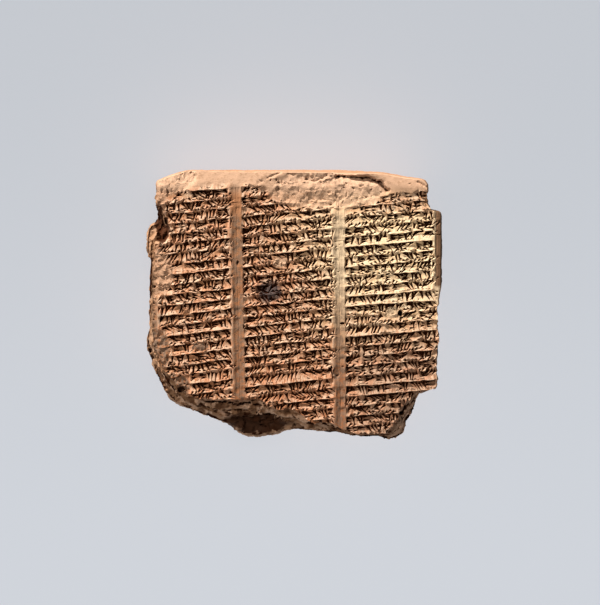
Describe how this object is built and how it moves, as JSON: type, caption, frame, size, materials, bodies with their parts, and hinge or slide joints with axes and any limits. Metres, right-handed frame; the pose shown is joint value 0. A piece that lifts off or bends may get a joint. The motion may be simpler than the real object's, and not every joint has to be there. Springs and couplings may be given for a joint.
{
  "type": "cuneiform tablet",
  "caption": "Upper part of a large fired clay tablet, broken off below, with rows of small pressed strokes in columns on its face. It lies on its low domed back.",
  "frame": {"origin": "under the middle of the piece's box, on the surface that the tablet lies on", "axes": "+X right across the written face, +Y to the moulded upper edge, +Z out of the written face"},
  "size_m": [0.12, 0.1098, 0.032],
  "materials": {
    "clay": "matt unglazed fired clay, orange-brown, with darker breaks and dirt in the strokes"
  },
  "bodies": {
    "root": {"tablet": "clay"}
  },
  "joints": []
}
